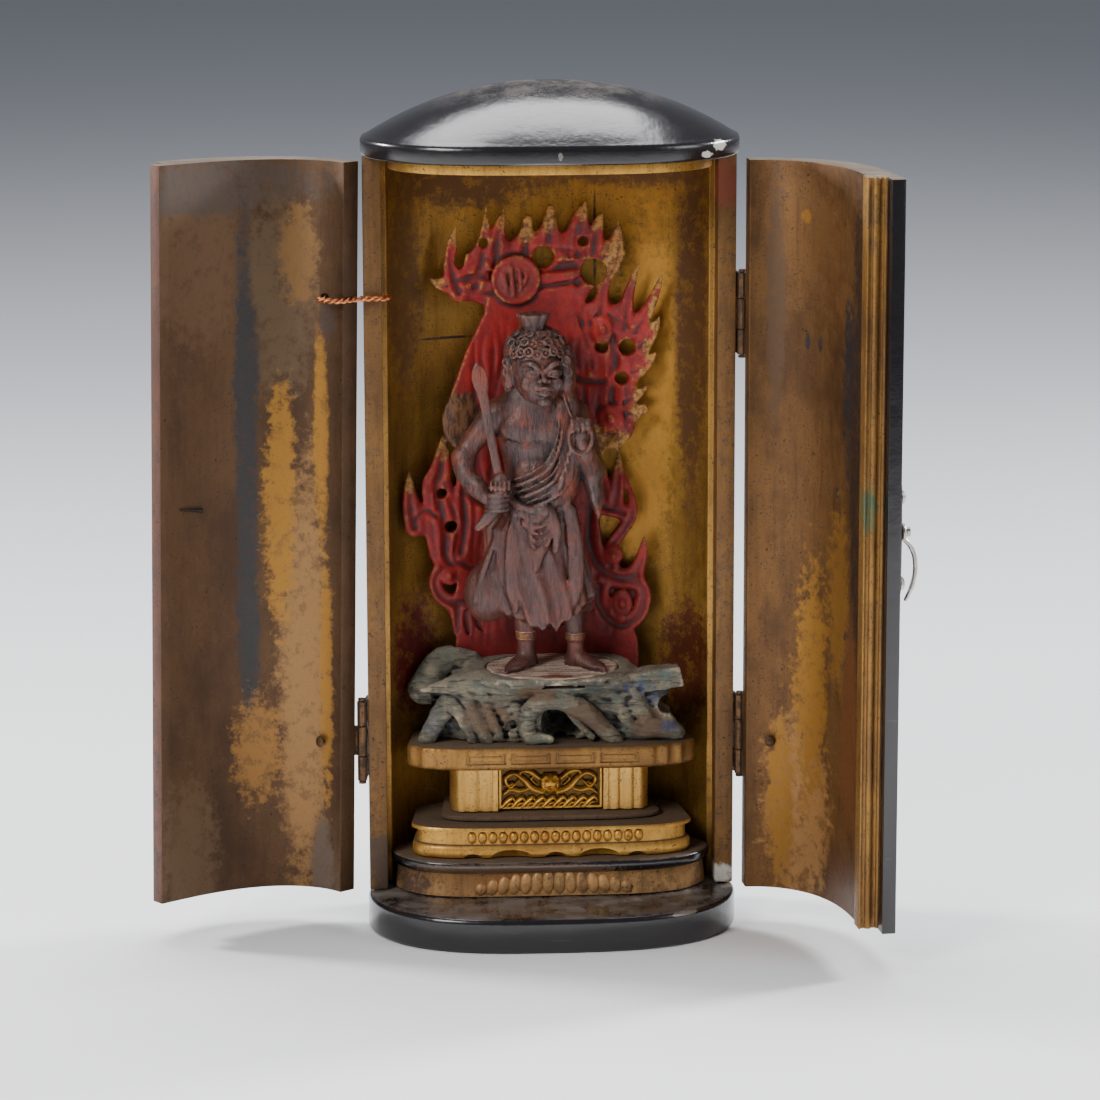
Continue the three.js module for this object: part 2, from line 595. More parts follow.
function catchStud() {
  const inside = doorWall(CATCH_X, 0).back + FIT_GAP + 0.5;
  const bend = [CATCH_X, inside, LATCH_Z];
  const tip = [CATCH_X + CLENCH_LENGTH, doorWall(CATCH_X + CLENCH_LENGTH, 0).back + FIT_GAP + 0.35, LATCH_Z + 0.8];
  return joined([
    rod([CATCH_X, catchFace(CATCH_STUD_HEIGHT), LATCH_Z], bend, CATCH_STUD_RADIUS * 0.6, 8),
    rod([CATCH_X, catchFace(CATCH_STUD_HEIGHT), LATCH_Z], [CATCH_X, catchFace(PLATE_THICKNESS + FIT_GAP), LATCH_Z], CATCH_STUD_RADIUS, 8),
    rod(bend, tip, CATCH_STUD_RADIUS * 0.6, 6, 0.2),
  ]);
}

function catchPlate() {
  const plate = rod(
    [CATCH_X, catchFace(0), LATCH_Z],
    [CATCH_X, catchFace(PLATE_THICKNESS), LATCH_Z],
    CATCH_PLATE_RADIUS,
    14,
  );
  return plate.subtract(catchShank(CATCH_STUD_RADIUS * 0.6 + FIT_GAP, 3));
}

// Copper wire twisted through the door's hole, round the door's edge, across the stile and into it
function repairWire(doorHole) {
  const [outside, inside] = doorHole;
  const inward = inside.clone().sub(outside).normalize();
  const mouth = inside.clone().addScaledVector(inward, 1.3);
  const across = [[-53.3, -3.2], [-50.4, -5.3], [-47.6, -4.3], [-45, -2.2], [-42, -1.3], [-39, -1.3], [-37.5, 0.4]];
  const rise = (TIE_Z - mouth.z) / across.length;
  const stops = [
    outside.clone().lerp(inside, 0.4),
    mouth,
    ...across.map(([x, y], i) => v3(x, y, mouth.z + rise * (i + 1))),
    v3(-INNER_HALF_WIDTH + 1, TIE_HOLE_DEPTH_Y - 0.2, TIE_Z),
    v3(-INNER_HALF_WIDTH - 2.2, TIE_HOLE_DEPTH_Y, TIE_Z),
  ];
  const route = new THREE.CatmullRomCurve3(stops, false, "centripetal");
  const length = route.getLength();
  const steps = 30;
  const sides = 6;
  const rings = [];
  for (let i = 0; i <= steps; i += 1) {
    const along = route.getTangentAt(i / steps);
    const flat = new THREE.Vector3().crossVectors(along, v3(0, 0, 1)).normalize();
    const up = new THREE.Vector3().crossVectors(flat, along).normalize();
    const twist = ((i / steps) * length * Math.PI) / WIRE_PITCH;
    rings.push(
      Array.from({ length: sides }, (_, s) => {
        const angle = (s / sides) * 2 * Math.PI;
        const reach = WIRE_RADIUS * (1.45 + 0.5 * Math.cos(2 * angle));
        return route
          .getPointAt(i / steps)
          .addScaledVector(flat, Math.cos(angle + twist) * reach)
          .addScaledVector(up, Math.sin(angle + twist) * reach);
      }),
    );
  }
  return loft(rings);
}

// Pedestal tiers. Each has a rounded front and runs straight back to the liner.
function tierOutline(halfWidth, front, cornerDepth, clearance = FIT_GAP + 0.2) {
  const { halfWidth: roomWidth, halfDepth: roomDepth } = interiorOutline(clearance);
  const side = Math.min(halfWidth, planX(roomWidth, roomDepth, 0) - 0.1);
  const frontSteps = 20;
  const points = [];
  for (let i = 0; i <= frontSteps; i += 1) {
    const angle = mix(Math.PI, 2 * Math.PI, i / frontSteps);
    const cosine = Math.cos(angle);
    const x = side * Math.sign(cosine) * Math.abs(cosine) ** 0.42;
    points.push(v2(x, -front + cornerDepth + cornerDepth * Math.sin(angle)));
  }
  const backSteps = 8;
  for (let i = 0; i <= backSteps; i += 1) {
    const x = mix(side, -side, i / backSteps);
    points.push(v2(x, Math.max(planY(roomWidth, roomDepth, x), -front + cornerDepth + 0.5)));
  }
  return points.map((p) => {
    const wall = planX(roomWidth, roomDepth, THREE.MathUtils.clamp(p.y, 0, roomDepth));
    return v2(Math.sign(p.x) * Math.min(Math.abs(p.x), wall), p.y);
  });
}

// The outline drawn in by an amount, towards its middle line
function drawnIn(points, amount) {
  const reachX = Math.max(...points.map((p) => p.x));
  const ys = points.map((p) => p.y);
  const middleY = (Math.min(...ys) + Math.max(...ys)) / 2;
  const reachY = (Math.max(...ys) - Math.min(...ys)) / 2;
  return points.map((p) => v2(p.x * (1 - amount / reachX), middleY + (p.y - middleY) * (1 - amount / reachY)));
}

const levels = (outline, profile) =>
  loft(profile.map(([inset, z]) => drawnIn(outline, inset).map((p) => v3(p.x, p.y, z))));

// Depth of a rounded front at a given distance from the middle
const frontAt = (halfWidth, front, cornerDepth, x) => {
  const share = Math.min(1, Math.abs(x / halfWidth)) ** (1 / 0.42);
  return -front + cornerDepth - cornerDepth * Math.sqrt(1 - share ** 2);
};

const DAIS_CORNER = DAIS_FRONT + DAIS_CENTRE;

function lowerDais() {
  const outline = tierOutline(INNER_HALF_WIDTH, DAIS_FRONT, DAIS_CORNER);
  const top = DAIS_BOTTOM + DAIS_FACE;
  const body = levels(outline, [
    [0.9, DAIS_BOTTOM],
    [1.3, top - 0.6],
    [0.3, top],
    [0, top + DAIS_MOULDING * 0.35],
    [0, top + DAIS_MOULDING * 0.75],
    [0.5, DAIS_TOP],
  ]);
  const petals = Array.from({ length: PETAL_COUNT }, (_, i) => {
    const share = (i + 0.5) / PETAL_COUNT;
    const x = mix(-PETAL_SPAN / 2, PETAL_SPAN / 2, share);
    const arch = Math.sqrt(1 - (2 * share - 1) ** 2 * 0.8);
    const half = (DAIS_FACE / 2) * arch;
    const y = frontAt(INNER_HALF_WIDTH, DAIS_FRONT, DAIS_CORNER, x) + 1.2;
    const lean = (share - 0.5) * -0.7;
    return ellipsoid([x, y, DAIS_BOTTOM + half], [1.45, 0.85, half * 1.02], [5, 3], [0, lean, 0]);
  });
  const room = block([-PETAL_SPAN, -DAIS_FRONT - 3, DAIS_BOTTOM], [PETAL_SPAN, DAIS_CENTRE, DAIS_TOP]);
  return joined([body, ...petals.map((petal) => petal.intersect(room))]);
}

const TIER_CORNER = 7;

function beadTier() {
  const outline = tierOutline(TIER_HALF_WIDTH, TIER_FRONT, TIER_CORNER);
  const apronTop = TIER_BOTTOM + TIER_APRON;
  const body = levels(outline, [
    [0.5, TIER_BOTTOM],
    [0.2, TIER_BOTTOM + 0.8],
    [0.5, apronTop - 0.2],
    [1.3, apronTop],
    [1.3, TIER_TOP - 1],
    [0, TIER_TOP - 0.8],
    [0.1, TIER_TOP],
  ]);
  const beads = Array.from({ length: BEAD_COUNT }, (_, i) => {
    const x = mix(-BEAD_SPAN / 2, BEAD_SPAN / 2, i / (BEAD_COUNT - 1)) + 0.6;
    const y = frontAt(TIER_HALF_WIDTH, TIER_FRONT, TIER_CORNER, x) + 1.3;
    return ellipsoid([x, y, apronTop + (TIER_FACE - 1) / 2], [BEAD_RADIUS, 0.95, (TIER_FACE - 1) * 0.46], [5, 3]);
  });
  // Scalloped feet: two wide arches and a small notch in the middle
  const arches = [[-9.9, 5, 2.2], [11, 5, 2.2], [0.6, 2.7, 1.5]].map(([x, half, rise]) =>
    ellipsoid([x, -TIER_FRONT, TIER_BOTTOM - 0.2], [half, 2.2, rise], [8, 4]),
  );
  return carved(joined([body, ...beads]), arches);
}

function thinStep() {
  const outline = tierOutline(STEP_HALF_WIDTH, STEP_FRONT, 5);
  return levels(outline, [[0, STEP_BOTTOM], [0, STEP_TOP - 0.3], [0.5, STEP_TOP]]);
}

// Waist: rounded flutes beside a framed opening
function waistBlock() {
  const pilaster = WAIST_HALF_WIDTH - PANEL_HALF_WIDTH - 1.2;
  const flute = pilaster / FLUTE_COUNT;
  const right = [v2(PANEL_HALF_WIDTH, -WAIST_FRONT), v2(PANEL_HALF_WIDTH + 1.2, -WAIST_FRONT)];
  for (let i = 0; i < FLUTE_COUNT; i += 1) {
    const start = PANEL_HALF_WIDTH + 1.2 + i * flute;
    const back = i === FLUTE_COUNT - 1 ? 2.4 : 0;
    right.push(v2(start + 0.25, -WAIST_FRONT + 0.7), v2(start + flute * 0.3, -WAIST_FRONT));
    right.push(v2(start + flute * 0.75, -WAIST_FRONT + back * 0.25), v2(start + flute * 0.97, -WAIST_FRONT + 0.5 + back));
  }
  const side = v2(WAIST_HALF_WIDTH, WAIST_BACK);
  const recess = v2(PANEL_HALF_WIDTH, -WAIST_FRONT + PANEL_RECESS);
  const half = [recess, ...right, side];
  const outline = [...half, ...mirrored(half)];
  return prism(outline, WAIST_BOTTOM, WAIST_TOP);
}

// Carved panel: a wave border, scrolls and a mask-like boss on a back board
function waistPanel() {
  const half = PANEL_HALF_WIDTH - FIT_GAP;
  const face = -WAIST_FRONT + PANEL_RECESS - FIT_GAP;
  const [low, high] = [WAIST_BOTTOM + 0.4, WAIST_TOP - 0.6];
  const board = block([-half, face - 0.7, low], [half, face, high]);
  const front = face - 0.9;
  const middle = (low + high) / 2 - 1.6;
  const waves = Array.from({ length: 9 }, (_, i) => {
    const x = mix(-half + 2.4, half - 2.4, i / 8);
    return limb([[x - 1.6, front, low + 0.1, 0.35], [x, front - 0.5, low + 1.1, 0.75], [x + 1.5, front, low + 2.2, 0.3]], 3, 2);
  });
  const scrolls = [-1, 1].flatMap((way) => [
    limb([[way * 2, front, middle - 0.8, 0.9], [way * 5.5, front - 0.6, middle, 0.8], [way * 9, front, middle + 2.8, 0.7],
      [way * 11.2, front, middle + 1, 0.4]], 4, 4),
    limb([[way * 3, front, middle + 3.4, 0.7], [way * 6, front - 0.4, middle + 2.6, 0.8], [way * 8.3, front, middle + 0.2, 0.6],
      [way * 10.8, front, middle - 1.2, 0.4]], 4, 4),
  ]);
  const boss = ellipsoid([0.2, front - 0.3, middle + 1.4], [2.7, 1.2, 2.4], [8, 5]);
  return joined([board, ...waves, ...scrolls, boss]);
}

// Top slab: lobed corners and a row of fret panels
const SLAB_CORNER = 7;

function pedestalTop() {
  const outline = tierOutline(SLAB_HALF_WIDTH, SLAB_FRONT, SLAB_CORNER).map((p) => {
    const fromCorner = (SLAB_HALF_WIDTH - Math.abs(p.x)) / SLAB_CORNER;
    const lobe = p.y < SLAB_CORNER && fromCorner < 1.4 ? 0.45 * Math.abs(Math.sin(fromCorner * 2 * Math.PI)) : 0;
    return v2(p.x * (1 - lobe / SLAB_HALF_WIDTH), p.y + lobe);
  });
  const body = levels(outline, [
    [0.7, SLAB_BOTTOM],
    [0, SLAB_BOTTOM + 0.9],
    [0, SLAB_TOP - 1],
    [0.25, SLAB_TOP],
  ]);
  const pitch = FRET_SPAN / FRET_COUNT;
  const middle = (SLAB_BOTTOM + SLAB_TOP) / 2 + 0.2;
  const cutters = [];
  for (let i = 0; i < FRET_COUNT; i += 1) {
    const x = (i - (FRET_COUNT - 1) / 2) * pitch;
    const y = frontAt(SLAB_HALF_WIDTH, SLAB_FRONT, SLAB_CORNER, x);
    const half = [pitch / 2 - 0.8, FRET_HEIGHT / 2];
    const outer = block([x - half[0], y - 1, middle - half[1]], [x + half[0], y + 0.5, middle + half[1]]);
    const bar = block([x - half[0] + 0.8, y - 2, middle - 0.55], [x + half[0] - 0.8, y + 1, middle + 0.55]);
    cutters.push(outer.subtract(bar));
  }
  return carved(body, cutters);
}

// The surface that the flame screen lies in: deepest in the middle, bowed forward at the sides
const screenY = (x) => FLAME_BACK - FLAME_BOW * (x / FLAME_BOW_HALF_WIDTH) ** 2;

// The figure stands on a plug let into the rock's sloping top.
const slope = Math.tan(radians(DISC_TILT));

function standingDisc(clearance, above) {
  const disc = new THREE.CylinderGeometry(1, 1, DISC_THICKNESS + clearance + above, 20).rotateX(Math.PI / 2);
  disc.translate(0, 0, (above - DISC_THICKNESS - clearance) / 2);
  disc.scale(DISC_HALF_WIDTH + clearance, DISC_HALF_DEPTH + clearance, 1).rotateX(radians(DISC_TILT));
  return solidOf(disc.translate(DISC_CENTRE_X, DISC_CENTRE_Y, ROCK_TOP));
}

// Rock: a craggy mass that overhangs at the front, with a horn, ridges, roots round a cave and a sawn block
function rockRing(halfWidth, front, back, z) {
  const height = (z - ROCK_BOTTOM) / ROCK_HEIGHT;
  return Array.from({ length: ROCK_SIDES }, (_, i) => {
    const angle = (i / ROCK_SIDES) * 2 * Math.PI;
    const [cosine, sine] = [Math.cos(angle), Math.sin(angle)];
    const rough = ROCK_ROUGHNESS * (0.6 * Math.sin(5 * angle + z * 0.7) + 0.4 * Math.sin(11 * angle - z * 1.3));
    const x = (halfWidth + rough) * Math.sign(cosine) * Math.abs(cosine) ** 0.7;
    const y = (front + back) / 2 + ((back - front) / 2 + rough) * Math.sign(sine) * Math.abs(sine) ** 0.7;
    return v3(x, y, z + slope * height * (y - DISC_CENTRE_Y));
  });
}

function rock() {
  const at = (height) => ROCK_BOTTOM + ROCK_HEIGHT * height;
  const spread = [[-0.06, 29.5, 2.2], [0.3, 28, 1], [0.6, 25, -1.8], [0.83, 22, -5.2], [0.96, 19.8, -6.4], [1, 18.5, -5.8]];
  const mass = loft(spread.map(([height, halfWidth, front]) => rockRing(halfWidth, front, FLAME_BACK, at(height))));
  const arm = (stops, sides = 5, steps = 3) => limb(stops.map(([x, y, h, r]) => [x, y, at(h), r]), sides, steps);
  const horn = arm([[-13, 4, 0.76, 4], [-21, 0.5, 0.83, 2.6], [-28, -1, 0.79, 0.8]]);
  const leftLeg = arm([[-21, 3, 0.72, 3.2], [-26, 1.5, 0.4, 2.4], [-29.5, 2.4, 0, 2]]);
  const backLeft = arm([[-30, 11, 0.62, 3.6], [-25, 13.5, 1.0, 3.2], [-18, 13, 1.02, 2]]);
  const ridges = [0, 1, 2, 3].map((i) =>
    arm([[-23 + 4.6 * i, 0.6, 0.68, 0.9], [-19.5 + 4.4 * i, -1.4, 0.4, 1.3], [-16.5 + 3.6 * i, 0.2, 0.02, 1.1]], 4, 2),
  );
  const root = arm([[-4.6, -1, -0.02, 1.8], [-6, -3.4, 0.4, 2.2], [-1, -4.4, 0.66, 2.4], [7, -3.6, 0.5, 2.4],
    [13.5, -0.6, 0.1, 2.2], [15.5, 0, -0.02, 2]], 5, 8);
  const stub = arm([[-4.4, -1.6, 0.09, 1.6], [-0.6, -2.4, 0.06, 1.3]], 5, 1);
  const beam = arm([[2, -2.6, 0.6, 1.3], [9.6, -0.6, 0.05, 0.8]], 4, 1);
  const sawnBlock = arm([[14, 3, 0.7, 3.4], [21, 0.6, 0.84, 3.1], [29.3, -0.4, 1.06, 2.5]], 5, 3);
  const knob = arm([[18, 3, 0.1, 2.6], [25, 1, 0.14, 2.6], [30, 0.8, 0.08, 2.1]], 5, 2);
  const rightRise = arm([[22, 3, 0.1, 3], [26, 2.4, 0.5, 2.4], [23, 2, 0.84, 2.8]], 5, 3);
  const cave = arm([[2.6, -9, 0.24, 5.4], [2.6, 2, 0.26, 5], [3, 8, 0.26, 3.6]], 8, 2);
  const hollow = cave.subtract(root).subtract(beam);
  const gap = ellipsoid([27.6, 1, at(0.5)], [2.4, 9, 2.3], [6, 4]);
  const footHalf = FLAME_FOOT_HALF_WIDTH + FIT_GAP;
  const behind = Array.from({ length: 13 }, (_, i) => {
    const x = mix(-footHalf, footHalf, i / 12);
    return v2(x, screenY(x) - FLAME_HALF_THICKNESS - FIT_GAP);
  });
  const footRoom = prism([v2(-footHalf, BASE_HALF_DEPTH), ...behind, v2(footHalf, BASE_HALF_DEPTH)], SLAB_TOP, ROCK_TOP * 2);
  const room = interiorOutline(FIT_GAP * 2);
  const inside = prism(planArc(room.halfWidth, room.halfDepth, 0, 2 * Math.PI, 48).slice(0, -1), ROCK_BOTTOM, ROOF_UNDERSIDE);
  const whole = joined([mass, horn, leftLeg, backLeft, ...ridges, stub, sawnBlock, knob, rightRise]);
  const opened = carved(whole, [hollow, gap, footRoom, standingDisc(FIT_GAP, ROCK_HEIGHT)]).add(
    root.subtract(standingDisc(FIT_GAP, ROCK_HEIGHT)),
  );
  return opened.add(beam).intersect(inside);
}

// Guardian figure. Its places are given in millimetres at the drawn height, up from the soles.
const FIGURE_DRAWN_HEIGHT = 84.4;
const figureScale = FIGURE_HEIGHT / FIGURE_DRAWN_HEIGHT;
const figurePoint = ([x, y, z]) => [
  DISC_CENTRE_X + (x - DISC_CENTRE_X) * figureScale,
  DISC_CENTRE_Y + (y - DISC_CENTRE_Y) * figureScale,
  ROCK_TOP + z * figureScale,
];
const bodyLimb = (stops, sides, steps, way = v3(0, 1, 0)) =>
  limb(stops.map(([x, y, z, ...sizes]) => [...figurePoint([x, y, z]), ...sizes.map((r) => r * figureScale)]), sides, steps, way);
const bodyLump = (centre, radii, detail = [8, 6], turn = [0, 0, 0]) =>
  ellipsoid(figurePoint(centre), radii.map((r) => r * figureScale), detail, turn);

function head() {
  const turned = radians(12);
  const hair = bodyLump([-3, 6.6, 74.6], [7.6, 6.6, 7], [8, 6]);
  const sideHair = [bodyLump([3.6, 5, 70], [2.4, 4.4, 7.4], [6, 5]), bodyLump([-9.4, 5, 70.4], [1.6, 3, 4.6], [6, 4])];
  const curls = [[-8, 2.4, 77], [-4.5, 0.5, 77.4], [-0.6, 0.6, 77.4], [-9.7, 3.4, 68.8]].map((place) =>
    bodyLump(place, [1.9, 1.9, 1.9], [6, 4]),
  );
  const lock = bodyLimb([[3.8, 4, 66, 2.2], [5.2, 2.6, 62, 2], [5.6, 1.6, 58.6, 1]], 5, 3);
  const cup = new THREE.LatheGeometry(
    [[0, 78.6], [3.4, 78.6], [2.6, 80.4], [4.05, 84.2], [3.5, 84.4], [0, 83.4]].map(([r, z]) => v2(r, z)),
    8,
  ).rotateX(Math.PI / 2);
  const [cupX, cupY] = figurePoint([-3.6, 5.6, 0]);
  const topknot = solidOf(cup.scale(figureScale, figureScale, figureScale).translate(cupX, cupY, ROCK_TOP));
  return [
    bodyLump([-3, 5, 72], [6.6, 6.7, 8.1], [8, 6], [0, 0, turned]),
    bodyLump([-2.3, 3.4, 67.3], [4.9, 5, 4.3], [8, 5], [0, 0, turned]),
    hair,
    ...sideHair,
    ...curls,
    lock,
    topknot,
    bodyLimb([[-1.9, -1, 72.8, 0.7], [-1.5, -2.3, 70.2, 1.2]], 5, 1),
    bodyLimb([[-5.8, -0.1, 73.4, 0.7], [-1.8, -1.3, 72.5, 1], [1.8, -0.4, 73.4, 0.7]], 4, 2),
    bodyLimb([[-3.4, -0.9, 67.6, 0.6], [-1.1, -1.5, 67.9, 0.8], [0.9, -1.1, 67.6, 0.6]], 4, 2),
    bodyLump([-1.3, -1, 64.9], [1.8, 1.5, 1.3], [6, 4]),
    bodyLimb([[-2.4, 5.6, 62.4, 4], [-2.4, 5.2, 66, 3.8]], 7, 1),
  ];
}

function armsAndHands() {
  const rope = new THREE.TorusGeometry(1, 0.24, 4, 10).rotateX(Math.PI / 2);
  rope.scale(2.75 * figureScale, 2.2 * figureScale, 3.4 * figureScale).translate(...figurePoint([6.7, -2.4, 57.2]));
  return [
    bodyLump([-11.4, 6, 61], [3.6, 3.4, 3.2], [6, 4]),
    bodyLimb([[-12, 6, 60.8, 3.2], [-15.4, 6.2, 57, 2.9], [-18.4, 6, 53.2, 2.6], [-20.2, 5.2, 50.2, 2.6]], 6, 2),
    bodyLump([-20, 5, 50.3], [2.6, 2.6, 2.6], [6, 4]),
    bodyLimb([[-20.2, 5.2, 50.6, 2.6], [-19.6, 3.2, 47, 2.4], [-17.6, 1, 43.8, 1.8], [-14.6, -0.8, 41.6, 1.6]], 6, 3),
    bodyLimb([[-16.8, 0.9, 44.2, 2.1], [-16.1, 0.5, 43.2, 2.1]], 6, 1),
    bodyLump([-12.9, -1.4, 41.2], [2.9, 2.3, 2.5], [6, 4]),
    bodyLimb([[-13.2, -0.6, 39.6, 1.9], [-14.6, -0.8, 37.4, 1.5], [-17, -1.2, 35, 1.1]], 6, 2),
    bodyLump([5.6, 6, 61], [3.6, 3.4, 3.2], [6, 4]),
    bodyLimb([[6.2, 6, 60, 3.1], [8.6, 6, 54, 2.9], [10.2, 4.8, 47.5, 2.8]], 6, 2),
    bodyLump([10.2, 4.6, 47.2], [2.8, 2.8, 2.8], [6, 4]),
    bodyLimb([[10.2, 4.6, 47, 2.8], [8.8, 1.6, 50, 2.6], [7.2, -0.6, 54, 2.1]], 6, 2),
    bodyLump([6.8, -0.8, 56.4], [2.5, 1.9, 3.9], [6, 4]),
    solidOf(rope),
    bodyLimb([[4.6, -2.6, 54.2, 0.6], [3.6, -2.4, 50.5, 0.55], [2.2, -2.2, 46.6, 0.7], [1.6, -1.6, 45.2, 1]], 4, 2),
  ];
}

function torso() {
  const folds = [0, 1.4, 2.8].map((j) => {
    const route = [[2.2, 1.2, 63.2], [1.7, -0.4, 57], [-0.3, -1.4, 51.5], [-3.6, -1.9, 48.6], [-8.2, -0.6, 46.3], [-10.2, 3, 45.6]];
    return bodyLimb(route.map(([x, y, z]) => [x + 1.1 * j, y + 0.2 * j, z - 1.9 * j, 0.9]), 3, 5);
  });
  return [
    bodyLimb([[-2.8, 6.5, 38.5, 7.2, 5.4], [-2.9, 6.3, 45, 6.8, 5.2], [-3.3, 6.2, 51, 7.6, 5.4], [-3.6, 6, 57, 8.6, 5.6],
      [-3.3, 6, 61.5, 8.6, 4.8], [-2.8, 6, 64.3, 4.8, 3.8], [-2.4, 5.6, 67, 3.6, 3.6]], 10, 6),
    bodyLump([-7, 2.3, 57.5], [4, 1.7, 3], [6, 4]),
    bodyLump([1, 2.3, 57.5], [3.8, 1.7, 3], [6, 4]),
    bodyLump([-3.2, 2.4, 46.5], [5, 2.4, 4], [6, 4]),
    bodyLimb([[3, 5, 62.5, 3.4, 4.6], [4.2, 4, 56, 3.6, 4.6], [3.6, 3.4, 50, 4.4, 4.6], [1.5, 3.6, 44, 5.4, 5]], 7, 2),
    bodyLimb([[9.6, 4, 48, 2.6, 3], [10.6, 3.8, 42, 2, 2.4], [11.6, 3.8, 36.2, 0.6, 0.9]], 5, 2),
    ...folds,
  ];
}

// Skirt: a radial body whose folds deepen towards a ragged hem
const SKIRT_SIDES = 27;
const SKIRT_FOLDS = 9;
const SKIRT_LEVELS = [[37.5, -12.2, 6.3], [33.7, -15.6, 6.9], [27.6, -15.3, 8], [22.4, -15.6, 9.4], [17.6, -13.4, 10.8], [10.5, -10, 11.4]];
const FRONT_HEM = [[-15, 13.6], [-8, 12.6], [-4.6, 11], [-2.1, 9.6], [-0.4, 11.4], [1.2, 9.6], [3.4, 12], [6, 13], [9, 16], [12, 18]];

function between(table, place) {
  const next = Math.max(1, table.findIndex(([key]) => key > place));
  const [[low, from], [high, to]] = [table[next - 1], table[next]];
  return mix(from, to, THREE.MathUtils.clamp((place - low) / (high - low), 0, 1));
}

function skirtRing([z, left, right], depth, last, shrink = 1, lift = 0) {
  const down = smooth(37.5 - z, 0, 22);
  return Array.from({ length: SKIRT_SIDES }, (_, i) => {
    const angle = (i / SKIRT_SIDES) * 2 * Math.PI;
    const fold = 1 + (0.02 + 0.075 * down) * Math.sin(SKIRT_FOLDS * angle + 0.8) * shrink;
    const x = (left + right) / 2 + ((right - left) / 2) * Math.cos(angle) * fold * shrink;
    const y = 6.5 + depth * Math.sin(angle) * fold * shrink;
    const hem = Math.sin(angle) < 0 ? between(FRONT_HEM, x) : mix(between(FRONT_HEM, x), 8, Math.sin(angle));
    return v3(...figurePoint([x, y, (last ? hem : Math.max(z, hem + 1)) + lift]));
  });
}

function skirt() {
  const rings = SKIRT_LEVELS.map((level, i) => skirtRing(level, 6 + 0.5 * (i / 5), i === SKIRT_LEVELS.length - 1));
  rings.push(skirtRing(SKIRT_LEVELS[5], 6, true, 0.86, 0.4), skirtRing(SKIRT_LEVELS[5], 5, true, 0.7, 2.5));
  const swags = [0, 1].map((i) => {
    const z = 39.4 - 2 * i;
    return bodyLimb([[-10.6, 3.4, z + 0.6, 0.6], [-7.4, 0.6, z - 1.6, 0.7], [-3.5, -0.4, z - 2.6, 0.8], [0.4, 0.6, z - 1.6, 0.7],
      [4, 3, z + 0.6, 0.6]], 3, 4);
  });
  return [
    bodyLimb([[-2.8, 6.2, 44, 7.4, 5.6], [-2.6, 6.2, 40, 7.6, 5.9], [-2.8, 6.4, 36, 9, 6.1]], 9, 2),
    loft(rings),
    bodyLump([-14.6, 6.5, 17.8], [6.2, 4.6, 7.6], [8, 6]),
    bodyLimb([[-1, 0.8, 36, 1.6, 0.8], [-2.4, 0.4, 31, 1.9, 0.8], [-3.5, 0.2, 25.6, 0.5, 0.5]], 4, 2),
    bodyLimb([[0.2, -0.4, 39.5, 0.9], [1, -0.6, 34, 1.1], [0.6, -0.3, 31, 0.8]], 4, 2),
    ...swags,
  ];
}

function legsAndFeet() {
  const up = v3(0, 0, 1);
  return [
    bodyLimb([[-5.4, 6, 16, 3.2], [-5.7, 6, 10.5, 2.6], [-5.6, 5.8, 7.2, 2.1], [-5.4, 6, 3.4, 2.2], [-5.3, 6.2, 1.2, 2.3]], 6, 4),
    bodyLimb([[5.2, 6, 18, 3.2], [5.6, 5.8, 12, 2.6], [6, 5.6, 7.3, 1.9], [6.2, 5.8, 3.4, 2.1], [6.2, 6, 1.2, 2.2]], 6, 4),
    bodyLimb([[-5.6, 5.8, 8.3, 2.5], [-5.6, 5.8, 7.1, 2.5]], 7, 1),
    bodyLimb([[6, 5.6, 7.8, 2.3], [6, 5.6, 6.6, 2.3]], 7, 1),
    bodyLimb([[-4.6, 8.2, 1.2, 2, 1.6], [-5.6, 6.2, 1.8, 2.2, 2], [-7.4, 3.8, 1.2, 2.4, 1.5], [-9.4, 1.4, 0.5, 2.1, 0.9]], 6, 3, up),
    bodyLimb([[5.4, 8, 1.2, 1.9, 1.6], [6.6, 6, 1.8, 2.1, 2], [9, 3.4, 1.2, 2.2, 1.5], [11.5, 1.1, 0.5, 2, 0.9]], 6, 3, up),
  ];
}

function guardianFigure() {
  const body = joined([standingDisc(0, 0), ...legsAndFeet(), ...skirt(), ...torso(), ...armsAndHands(), ...head()]);
  const underside = standingDisc(0, 0).add(block([-FIGURE_HEIGHT, -FIGURE_HEIGHT, ROCK_TOP - slope * DISC_HALF_DEPTH],
    [FIGURE_HEIGHT, FIGURE_HEIGHT, ROCK_TOP + FIGURE_HEIGHT * 2]));
  return body.intersect(underside).subtract(swordTang(FIT_GAP));
}

// Sword: a straight blade that widens at the tip, in a cup-shaped guard whose tang sits in the fist
const swordTang = (clearance) =>
  rod(figurePoint([-12.1, -3, 45.4]), figurePoint([-12.8, -1.6, 41]), 0.55 * figureScale + clearance, 7);

function sword() {
  const blade = bodyLimb([[-12, -2.4, 46.4, 1.05, 0.5], [-14.6, -2.8, 60, 1.1, 0.45], [-15.8, -3, 66.4, 1.2, 0.4],
    [-16.6, -3, 71, 1.85, 0.4], [-17.4, -3, 74.2, 0.15, 0.15]], 6, 8);
  const lip = bodyLump([-12.1, -3.2, 44.9], [2.7, 1.7, 0.9], [8, 4]);
  const cup = bodyLimb([[-12.1, -3.1, 44.3, 1.6, 1.2], [-11.9, -3, 46, 2.1, 1.5], [-11.8, -2.8, 48, 0.6, 0.6]], 7, 3);
  return joined([blade, cup, lip, swordTang(0)]);
}

